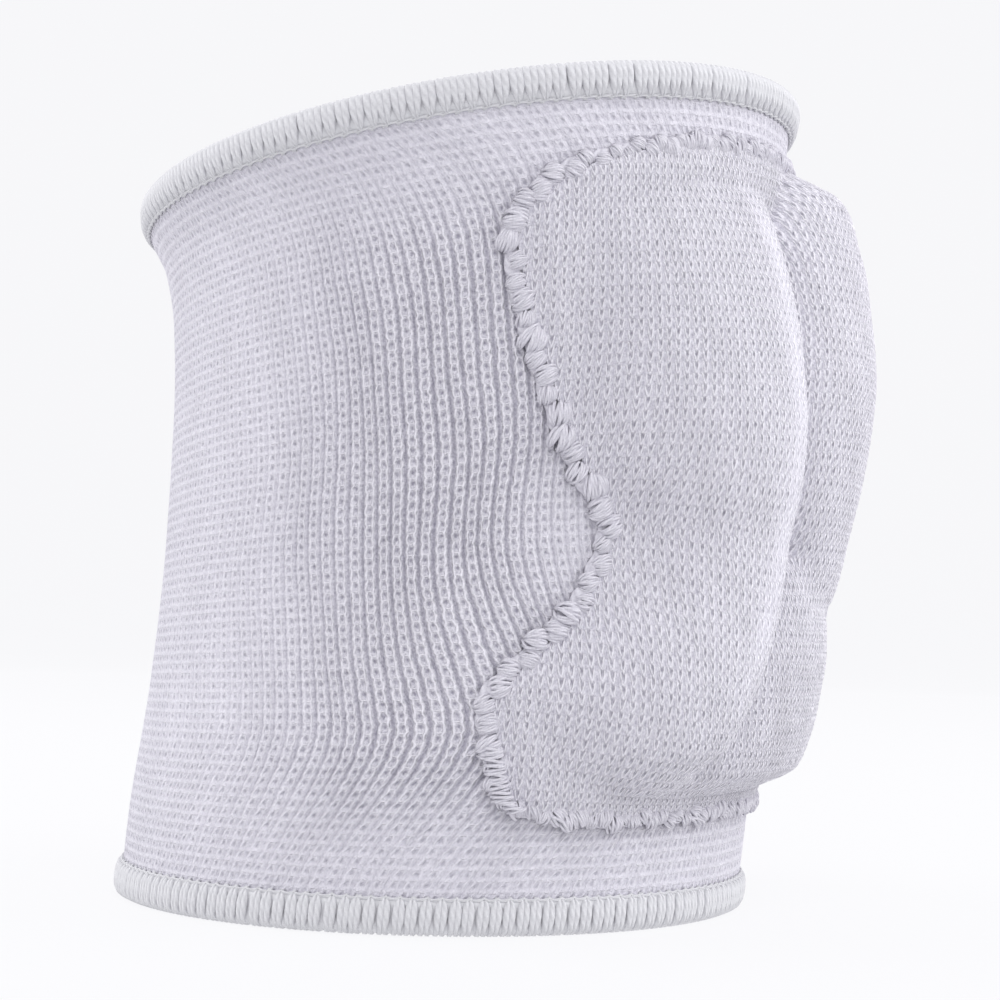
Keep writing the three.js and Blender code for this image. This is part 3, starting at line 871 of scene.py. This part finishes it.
def tubes(centres, out, wide, tall, sides, first):
    """Many closed strands at once: centre lines (strand, step), the way out of the cloth, and half
    widths along and out of it. Returns points, quads, caps and thread coordinates."""
    count, length = centres.shape[:2]
    along = unit(np.gradient(centres, axis=1))
    aside = unit(np.cross(out, along))
    up = np.cross(along, aside)
    turn = np.arange(sides) / sides * 2 * math.pi
    ring = aside[:, :, None] * (wide[..., None] * np.cos(turn))[..., None]
    ring = ring + up[:, :, None] * (tall[..., None] * np.sin(turn))[..., None]
    points = centres[:, :, None] + ring
    ids = first + np.arange(count * length * sides).reshape(count, length, sides)
    wrapped = np.concatenate([ids, ids[..., :1]], -1)
    corners = [wrapped[:, :-1, :-1], wrapped[:, :-1, 1:], wrapped[:, 1:, 1:], wrapped[:, 1:, :-1]]
    quads = np.stack(corners, -1).reshape(-1, 4)
    caps = [list(ring_ids[::-1]) for ring_ids in ids[:, 0]] + [list(r) for r in ids[:, -1]]
    run = np.linalg.norm(np.diff(centres, axis=1), axis=-1)
    run = np.concatenate([np.zeros((count, 1)), np.cumsum(run, 1)], 1)
    around = np.broadcast_to(np.arange(sides) / sides, (count, length, sides))
    coordinates = np.stack([around, np.broadcast_to(run[..., None], around.shape)], -1)
    return points.reshape(-1, 3), quads, caps, coordinates.reshape(-1, 2)


def gather(name, groups, core):
    """One mesh object from groups of strands, each (centres, out, wide, tall, sides), and a closed
    core given as its points, quads and coordinates."""
    points, quads, maps = ([part] for part in core)
    caps = []
    first = len(core[0])
    for centres, out, wide, tall, sides in groups:
        made = tubes(centres, out, wide, tall, sides, first)
        points.append(made[0])
        quads.append(made[1])
        caps += made[2]
        maps.append(made[3])
        first += len(made[0])
    maps = {"knit": np.vstack(maps)}
    return build_mesh(name, np.vstack(points), np.vstack(quads), caps, maps, {"knit": 1})


# Seam stitches: bundles of thread across the seam
STITCH_SPACING = 3.5
STITCH_LENGTH = 4.3
STITCH_STRANDS = 8
STITCH_LEAN = 0.45
STITCH_CROWN = 1.75
STITCH_END_LIFT = 0.25
STRAND_SPACING = 0.5
SEAM_TURN = 1.2

# Along the pocket's top and bottom the stitches are closer, smaller and nearer to its middle
FLAT_SPACING = 0.62
FLAT_SHRINK = 0.25
FLAT_SHIFT = 0.75

# A stack of straight thread low on one side: its ends as shares of the pocket's height
TACK_RISE = (0.025, 0.115)
TACK_SPACING = 0.5

# Section of the core under the stitches, in millimetres out from the seam and up from the tube
SEAM_CORE = table("out lift", [
    (-1.8, 0.4),
    (-0.8, 0.65),
    (-0.3, 1.0),
    (0.5, 1.1),
    (1.2, 0.75),
    (1.7, 0.3),
    (1.7, 0.12),
    (-1.8, 0.12),
])
SEAM_CORE_STEPS = 600
SEAM_CORE_WAVES = 97


class SeamPath:
    """The seam's closed path in the plane of the cloth, followed by its length."""

    def __init__(self):
        rise = np.linspace(0, 1, 600)
        half = seam_half(rise)
        top = np.linspace(1, -1, 240)[1:-1]
        across = np.concatenate([half, top * half[-1], -half[::-1], -top * half[0]])
        rise = np.concatenate([rise, np.ones(len(top)), rise[::-1], np.zeros(len(top))])
        self.across = np.append(across, across[0])
        self.rise = np.append(rise, rise[0])
        path = pocket_point(self.across, self.rise, PIECE_GAP)
        steps = np.linalg.norm(np.diff(path, axis=0), axis=1)
        self.run = np.concatenate([[0], np.cumsum(steps)])
        self.upright = smoothstep(0.0, 0.06, np.minimum(self.rise, 1 - self.rise))

    def at(self, distance):
        distance = distance % self.run[-1]
        return np.interp(distance, self.run, self.across), np.interp(distance, self.run, self.rise)

    def directions(self, distance):
        """Along the seam, and away from the pocket."""
        a0, r0 = self.at(distance - SEAM_TURN)
        a1, r1 = self.at(distance + SEAM_TURN)
        along = unit(np.stack([a1 - a0, (r1 - r0) * POCKET_HEIGHT], -1))
        return along, np.stack([along[:, 1], -along[:, 0]], -1)

    def flat(self, distance):
        """1 along the pocket's top and bottom, and 0 up its sides."""
        return 1 - np.interp(distance, self.run, self.upright)


def seam_core(path):
    """The low ridge under the stitches, as points, faces and thread coordinates."""
    run = np.arange(SEAM_CORE_STEPS) / SEAM_CORE_STEPS * path.run[-1]
    flat = path.flat(run)
    waves = 1 + 0.18 * np.sin(run / path.run[-1] * SEAM_CORE_WAVES * 2 * math.pi)
    size = (waves * (1 - FLAT_SHRINK * flat))[:, None]
    out = SEAM_CORE["out"] * size - FLAT_SHIFT * flat[:, None]
    away = path.directions(run)[1][:, None] * out[..., None]
    across, rise = (place[:, None] for place in path.at(run))
    lift = SEAM_CORE["lift"] * size
    points = pocket_point(across + away[..., 0], rise + away[..., 1] / POCKET_HEIGHT, lift)
    quads = lattice_quads(grid_ids(points, columns_wrap=True, rows_wrap=True))
    around = np.arange(points.shape[1]) / points.shape[1]
    coordinates = np.stack(np.meshgrid(around, run), -1)
    return points.reshape(-1, 3), quads, coordinates.reshape(-1, 2)


def pocket_strands(across, rise, lift, wide):
    """Round strands laid on the pocket, as gather reads them."""
    centres = pocket_point(across, rise, lift)
    return centres, unit(centres - pocket_point(across, rise, lift - 1)), wide, wide, 5


def seam():
    """Puffy bundles of thread across the seam, smaller along its top and bottom."""
    path = SeamPath()
    closer = FLAT_SPACING + (1 - FLAT_SPACING) * path.upright[1:]
    stitches = np.concatenate([[0], np.cumsum(np.diff(path.run) / closer)])
    stitches /= STITCH_SPACING
    count = int(round(stitches[-1]))
    places = (np.arange(count) + 0.5 + RANDOM.uniform(-0.14, 0.14, count)) * stitches[-1] / count
    middle = np.interp(places, stitches, path.run)
    a, r = path.at(middle)
    flat = path.flat(middle)
    size = (1 - FLAT_SHRINK * flat) * RANDOM.uniform(0.82, 1.18, count)
    along, aside = path.directions(middle)
    stagger = np.where(np.arange(count) % 2 == 0, 0.5, -0.5) + RANDOM.uniform(-0.4, 0.4, count)
    lean = STITCH_LEAN + RANDOM.uniform(-0.7, 0.7, count)
    t = np.linspace(-1, 1, 9)
    bow = rounded(t, 2)
    groups = []
    for n in range(STITCH_STRANDS):
        spread = (n - (STITCH_STRANDS - 1) / 2) * STRAND_SPACING
        twist = (lean + RANDOM.uniform(-0.3, 0.3, count))[:, None]
        reach = (STITCH_LENGTH / 2 * RANDOM.uniform(0.85, 1.1, count))[:, None] * t
        bulge = spread * (0.45 + 0.55 * bow)
        side_way = (reach * np.cos(twist) - bulge * np.sin(twist)) * size[:, None]
        side_way = side_way + (stagger * size - FLAT_SHIFT * flat)[:, None]
        length_way = (reach * np.sin(twist) + bulge * np.cos(twist)) * size[:, None]
        offset = along[:, None] * length_way[..., None] + aside[:, None] * side_way[..., None]
        crown = STITCH_CROWN - 0.22 * spread**2 + RANDOM.uniform(-0.25, 0.25, count)
        lift = STITCH_END_LIFT + (crown * size)[:, None] * bow**0.8
        across, rise = a[:, None] + offset[..., 0], r[:, None] + offset[..., 1] / POCKET_HEIGHT
        groups.append(pocket_strands(across, rise, lift, (0.2 + 0.17 * bow) * size[:, None]))
    groups.append(tack())
    return gather("seam_stitches", groups, seam_core(path))


def tack():
    """A short stack of thread wrapped straight across the seam on the side that shows."""
    height = (TACK_RISE[1] - TACK_RISE[0]) * POCKET_HEIGHT
    count = int(height / TACK_SPACING)
    r = np.linspace(*TACK_RISE, count) + RANDOM.uniform(-0.3, 0.3, count) * TACK_SPACING / POCKET_HEIGHT
    t = np.linspace(-1, 1, 9)
    half = (SEAM_WIDTH / 2 - 0.4) * RANDOM.uniform(0.85, 1.1, count)
    across = -seam_half(r)[:, None] + half[:, None] * t
    rise = r[:, None] + RANDOM.uniform(-0.5, 0.5, count)[:, None] * t / POCKET_HEIGHT
    bow = rounded(t, 2)
    lift = PIECE_GAP + 0.3 + (2.3 + RANDOM.uniform(-0.2, 0.2, count))[:, None] * bow
    return pocket_strands(across, rise, lift, np.full(len(t), 0.3))


# Rim bindings: wraps of thread round a line WRAP_MIDDLE in from the edge, over a core, and two
# rows of small loops at the knit
WRAPS = 162
WRAP_MIDDLE = 3.2
BAND_AROUND = 324
LOOP_WIDTH = 0.56
LOOP_BENDS = (-0.252, 0.42)


def rim_point(upper, theta, inward, out):
    """A point by a rim: how far in from its edge, and how far out from the middle of the knit."""
    height = rim_height(theta) - inward if upper else inward + 0 * theta
    return tube_point(theta, height / rim_height(theta), out - SLEEVE_WALL / 2)


def band(upper, outline):
    """A closed band round a rim through a section given as (inward, out) rows."""
    theta = np.arange(BAND_AROUND) / BAND_AROUND * 2 * math.pi
    loop = outline[::-1] if upper else outline
    inward, out = np.array(loop).T
    points = rim_point(upper, theta[:, None], inward, out)
    quads = lattice_quads(grid_ids(points, columns_wrap=True, rows_wrap=True))[:, ::-1]
    coordinates = np.stack(np.meshgrid(np.arange(len(loop)) / len(loop), theta * TUBE_RADIUS), -1)
    return points.reshape(-1, 3), quads, coordinates.reshape(-1, 2)


def band_outline(grip):
    """Section of the core under the wraps, with the groove that holds the knit."""
    half = BINDING_THICKNESS / 2 - 0.5
    groove = SLEEVE_WALL / 2 + 0.1
    corner = 1.1
    turn = np.linspace(0, math.pi / 2, 5)
    lip = BINDING_HEIGHT + 0.5
    rows = [(BINDING_HEIGHT - 0.3, half), (lip, groove + 0.35), (lip, groove), (grip, groove)]
    rows += [(grip, -groove), (lip, -groove), (lip, -groove - 0.35), (BINDING_HEIGHT - 0.3, -half)]
    rows += [(corner * (1 - np.sin(a)) + 0.3, -half + corner * (1 - np.cos(a))) for a in turn]
    rows += [(corner * (1 - np.sin(a)) + 0.3, half - corner * (1 - np.cos(a))) for a in turn[::-1]]
    return rows


# Wraps: how far in from the edge, how far out from the knit's middle, and half the distance and
# half the width of the two strands of a wrap, in millimetres
LOWER_WRAP = table("inward out apart wide", [
    (6.2, 1.45, 0.2, 0.3),
    (5.6, 1.9, 0.38, 0.5),
    (4.7, 2.15, 0.48, 0.66),
    (3.6, 2.25, 0.5, 0.7),
    (2.4, 2.25, 0.46, 0.64),
    (1.5, 2.1, 0.38, 0.52),
    (0.8, 1.75, 0.34, 0.5),
    (0.5, 1.1, 0.55, 0.6),
])
UPPER_WRAP = table("inward out apart wide", [
    (6.3, 1.45, 0.12, 0.24),
    (5.6, 1.9, 0.28, 0.4),
    (4.6, 2.15, 0.44, 0.62),
    (3.4, 2.2, 0.54, 0.8),
    (2.2, 2.15, 0.56, 0.86),
    (1.2, 1.85, 0.56, 0.86),
    (0.62, 1.3, 0.56, 0.86),
    (0.5, 0.55, 0.56, 0.86),
])


def binding(name, upper, rows, slant):
    """Pairs of thread strands round a rim, over a core, with a row of small loops at the knit."""
    theta = np.arange(WRAPS) / WRAPS * 2 * math.pi
    theta = theta + RANDOM.uniform(-0.1, 0.1, WRAPS) * 2 * math.pi / WRAPS
    inward, out, apart, wide = (np.append(row, row[::-1]) for row in rows.values())
    out[len(out) // 2:] *= -1
    lean = slant * (inward / BINDING_HEIGHT - 0.5)
    groups = []
    for hand in (-1, 1):
        pulled = RANDOM.uniform(0.92, 1.06, (WRAPS, 1))
        turn = theta[:, None] + (hand * apart * pulled + lean) / TUBE_RADIUS
        centres = rim_point(upper, turn, inward, out)
        outwards = unit(centres - rim_point(upper, turn, WRAP_MIDDLE, 0))
        groups.append((centres, outwards, wide, np.minimum(wide, 0.5), 6))
    t = np.linspace(-1, 1, 7)
    width = np.full(len(t), LOOP_WIDTH / 2)
    for n, bend in enumerate(LOOP_BENDS):
        turn = theta[:, None] + (n + t * 0.62 - 0.5) * 2 * math.pi / WRAPS
        inwards = BINDING_HEIGHT + 0.7 + bend * t**2
        lift = SLEEVE_WALL / 2 + 0.12 + 0.22 * (1 - t**2)
        centres = rim_point(upper, turn, inwards, lift)
        outwards = unit(centres - rim_point(upper, turn, inwards, lift - 1))
        groups.append((centres, outwards, width, width, 5))
    core = band(upper, band_outline(BINDING_HEIGHT - BINDING_GRIP))
    return gather(name, groups, core)


# Steps in which a cushion's edge is cut back from its neighbour or from thin cover
TRIM_STEPS = 60


def cushion(name, patch):
    """A smooth foam block that fills the cover's inside over a patch of the pocket."""
    up, side = np.meshgrid(np.linspace(0, 1, 33), np.linspace(0, 1, 25), indexing="ij")
    across, rise = patch(side, up)

    def face(a, r):
        return pocket_point(a, r, cover_lift(a, r))

    top = face(across, rise) - way_out(face, across, rise, 0.4) * (COVER_WALL + FOAM_GAP)
    base = pocket_point(across, rise, PIECE_GAP)
    outward = unit(pocket_point(across, rise, PIECE_GAP + THINNEST_FOAM) - base)
    short = np.maximum(0, THINNEST_FOAM - np.sum((top - base) * outward, -1))
    top = top + outward * short[..., None]
    ids = grid_ids(top)
    quads = [lattice_quads(ids), lattice_quads(ids + ids.size)[:, ::-1]]
    walk = np.concatenate([ids[0, :-1], ids[:-1, -1], ids[-1, :0:-1], ids[:0:-1, 0]])
    after = np.roll(walk, -1)
    quads.append(np.stack([after, walk, walk + ids.size, after + ids.size], -1))
    points = np.vstack([top.reshape(-1, 3), base.reshape(-1, 3)])
    return build_mesh(name, points, np.vstack(quads))


def kneecap_foam_half(rise):
    return kneecap_half(share_of(KNEECAP_RISE, rise)) * KNEECAP_FOAM["width"]


def shin_foam_half(rise):
    share = share_of(SHIN_RISE, rise)
    half = shin_half(share) * SHIN_FOAM["width"]
    return np.where((share > 0) & (rise <= SHIN_FOAM["top"]), half, 0)


def kneecap_patch(side, up):
    share = KNEECAP_FOAM["low"] + up * (KNEECAP_FOAM["high"] - KNEECAP_FOAM["low"])
    rise = KNEECAP_RISE[0] + share * (KNEECAP_RISE[1] - KNEECAP_RISE[0])
    return (2 * side - 1) * kneecap_foam_half(rise), rise


def shin_patch(side, up):
    """Its top edge is cut to the round lower end of the kneecap cushion."""
    gap = CUSHION_GAP / POCKET_HEIGHT
    top_half = shin_foam_half(SHIN_FOAM["top"])
    across = (2 * side - 1) * top_half
    start = KNEECAP_RISE[0] + KNEECAP_FOAM["low"] * (KNEECAP_RISE[1] - KNEECAP_RISE[0])
    top = np.full_like(across, SHIN_FOAM["top"])
    for _ in range(TRIM_STEPS):
        clash = (top > start - gap) & (kneecap_foam_half(top + gap) > np.abs(across) - CUSHION_GAP)
        top = top - clash * gap / 4
    rise = SHIN_FOAM["low"] + up * (top - SHIN_FOAM["low"])
    return across * shin_foam_half(rise) / top_half, rise


def side_patch(side, up):
    rise = SIDE_FOAM["low"] + up * (SIDE_FOAM["high"] - SIDE_FOAM["low"])
    neighbour = np.maximum(kneecap_foam_half(rise), shin_foam_half(rise)) + CUSHION_GAP
    inner = np.maximum(neighbour, side_ridge(rise) - SIDE_ROLL / 2)
    room = COVER_WALL + FOAM_GAP + 2 * PIECE_GAP + THINNEST_FOAM
    outer = seam_half(rise)
    for _ in range(TRIM_STEPS):
        thin = (outer > inner + SIDE_ROLL) & (cover_lift(outer, rise) < room)
        outer = outer - thin * PIECE_GAP
    return inner + side * (outer - inner), rise


def mirrored_side_patch(side, up):
    across, rise = side_patch(1 - side, up)
    return -across, rise


def swung(a, b, angle):
    """Two directions after a turn of the first towards the second."""
    return a * math.cos(angle) + b * math.sin(angle), b * math.cos(angle) - a * math.sin(angle)


def camera():
    """The photograph's camera, from its fit to the object's outline."""
    azimuth, distance, height = math.radians(-80), 412.9, 52.2
    focal, sensor, width = 2067.0, 36.0, 1000.0
    pitch, yaw, roll = (math.radians(angle) for angle in (3.58, 0.89, 1.46))
    place = np.array([math.sin(azimuth) * distance, -math.cos(azimuth) * distance, height])
    forward = -np.array([math.sin(azimuth), -math.cos(azimuth), 0])
    up = np.array([0, 0, 1.0])
    right = np.cross(forward, up)
    forward, right = swung(forward, right, yaw)
    forward, up = swung(forward, up, pitch)
    right, up = swung(right, up, roll)
    lens = bpy.data.cameras.new("camera")
    lens.sensor_width = sensor
    lens.lens = focal / width * sensor
    lens.clip_start = 0.01
    axes = (right, up, -forward)
    bpy.context.scene.camera = add_object("camera", lens, axes, (place + OFFSET) * MM)


# The tone of the world and of the floor's own glow
SOFT_WHITE = (0.98, 0.98, 1.0, 1)


def stage():
    """A pale floor that sweeps up behind the object on every side."""
    material = bpy.data.materials.new("pale_floor")
    material.use_nodes = True
    shader = material.node_tree.nodes["Principled BSDF"]
    set_inputs(shader, {"Base Color": (0.06, 0.06, 0.06, 1), "Roughness": 0.9})
    set_inputs(shader, {"Emission Color": SOFT_WHITE, "Emission Strength": 0.89})
    set_inputs(shader, {"Specular IOR Level": 0.1})
    reach, bend, wall = 1600, 500, 1200
    rise = np.linspace(0, math.pi / 2, 13)
    radius = np.append(reach + bend * np.sin(rise), reach + bend)
    height = np.append(bend * (1 - np.cos(rise)), bend + wall)
    sides = 64
    turn = np.arange(sides) / sides * 2 * math.pi
    x, y = radius[:, None] * np.cos(turn), radius[:, None] * np.sin(turn)
    points = np.stack([x, y, height[:, None] + 0 * turn], -1)
    ids = grid_ids(points, first=1, columns_wrap=True)
    middle = [[0, a, b] for a, b in zip(ids[0, :-1], ids[0, 1:])]
    points = np.vstack([[[0, 0, 0]], points.reshape(-1, 3)])
    floor = build_mesh("pale_floor", points - OFFSET, lattice_quads(ids)[:, ::-1], middle)
    floor.data.materials.append(material)


# Lights: azimuth and elevation in degrees, distance and size in metres, power in watts
LIGHTS = {
    "key_light": (10, 32, 1.1, 0.7, 5.6),
    "side_light": (176, 32, 1.1, 0.7, 5.0),
    "top_light": (-75, 52, 1.2, 0.6, 3.2),
}
LIGHTS_AIM = 0.07


def area_light(name, azimuth, elevation, distance, size, power):
    """A soft square light that points at the middle of the object."""
    light = bpy.data.lights.new(name, "AREA")
    light.shape = "SQUARE"
    light.size = size
    light.energy = power
    a, e = math.radians(azimuth), math.radians(elevation)
    away = np.array([math.sin(a) * math.cos(e), -math.cos(a) * math.cos(e), math.sin(e)])
    side = unit(np.cross([0, 0, 1.0], away))
    axes = (side, np.cross(away, side), away)
    add_object(name, light, axes, away * distance + np.array([0, 0, LIGHTS_AIM]))


def lights():
    world = bpy.data.worlds.new("soft_white")
    world.use_nodes = True
    set_inputs(world.node_tree.nodes["Background"], {"Color": SOFT_WHITE, "Strength": 0.7})
    bpy.context.scene.world = world
    for name, values in LIGHTS.items():
        area_light(name, *values)


bpy.context.scene.view_settings.view_transform = "Standard"
camera()
stage()
lights()

dress(sleeve(), rib_knit(), "sleeve")
knit_cover = cover()
dress(knit_cover, cover_knit(), "pad_cover")
seam_thread = thread("seam_thread", 3, (0.38, 0.365, 0.43), (0.88, 0.865, 0.93))
dress(seam(), seam_thread, "pocket_seam")
binding_thread = thread("binding_thread", 3, (0.48, 0.48, 0.51), (0.79, 0.79, 0.82))
top = binding("top_wraps", True, UPPER_WRAP, 0.9)
dress(top, binding_thread, "top_binding")
bottom = binding("bottom_wraps", False, LOWER_WRAP, 0.0)
dress(bottom, binding_thread, "bottom_binding")

CUSHIONS = (
    ("kneecap_cushion", kneecap_patch, "kneecap_pad"),
    ("shin_cushion", shin_patch, "shin_pad"),
    ("side_cushion_left", side_patch, "side_pad_left"),
    ("side_cushion_right", mirrored_side_patch, "side_pad_right"),
)
foam_finish = foam()
for cushion_name, patch_of, node in CUSHIONS:
    block = cushion(cushion_name, patch_of)
    dress(block, foam_finish, node)
